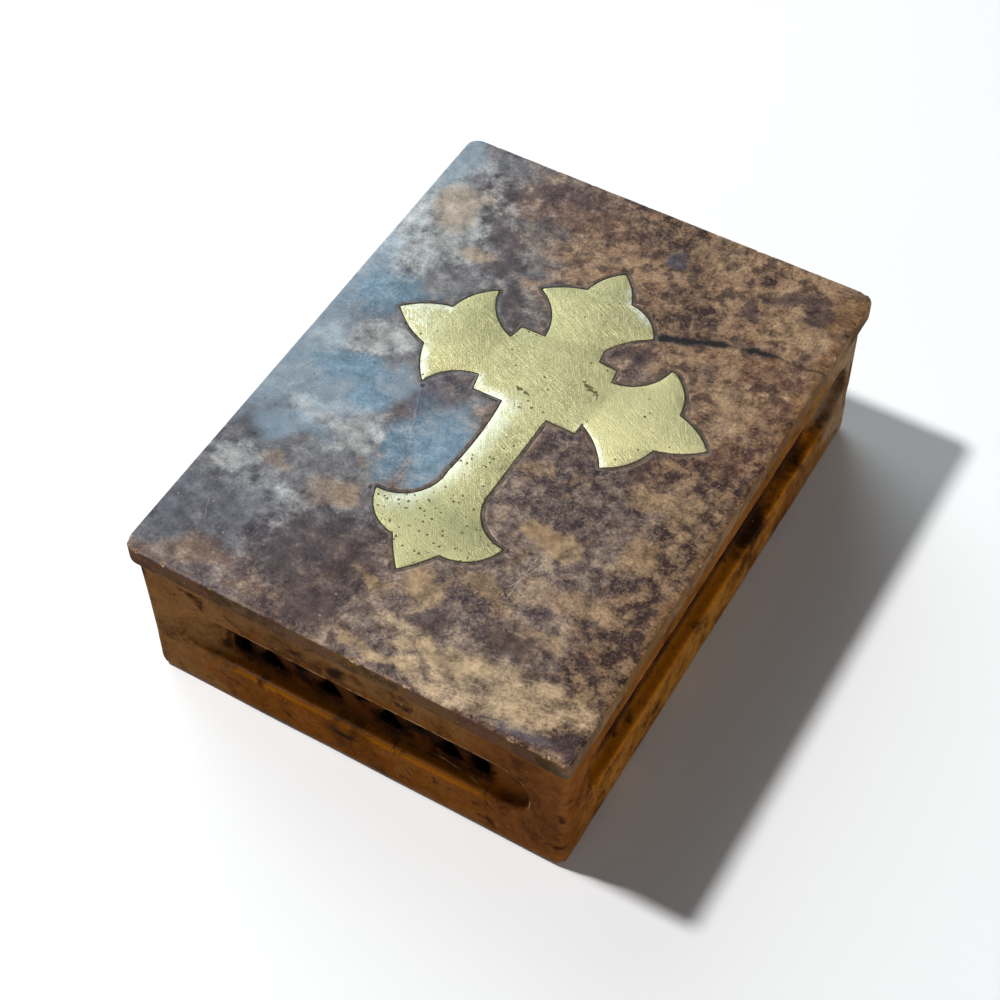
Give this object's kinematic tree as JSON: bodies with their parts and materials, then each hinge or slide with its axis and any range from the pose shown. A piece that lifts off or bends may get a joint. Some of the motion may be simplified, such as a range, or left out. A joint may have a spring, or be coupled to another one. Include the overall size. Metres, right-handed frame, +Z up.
{
  "type": "trinket box",
  "caption": "Low rectangular stone trinket box with a pierced recess in each side and a lift-off lid with a brass cross let into its top; holds small jewellery.",
  "frame": {"origin": "middle of the underside", "axes": "+Z up, +Y along the longer side towards the head of the cross, +X to the right of the cross"},
  "size_m": [0.0762, 0.1016, 0.032],
  "materials": {
    "body_stone": "waxed amber brown soapstone with dark specks",
    "lid_stone": "waxed mottled purple and tan soapstone",
    "cross_brass": "pale brass, rubbed down flush and finely scratched",
    "joint_cement": "dark dull cement"
  },
  "bodies": {
    "box": {"box_body": "body_stone"},
    "lid": {"lid": "lid_stone", "brass_cross": "cross_brass", "setting_cement": "joint_cement"}
  },
  "joints": [
    {"name": "lid_lift", "type": "slide", "parent": "box", "child": "lid", "axis": [0, 0, 1], "range_m": [0, 0.04]}
  ]
}
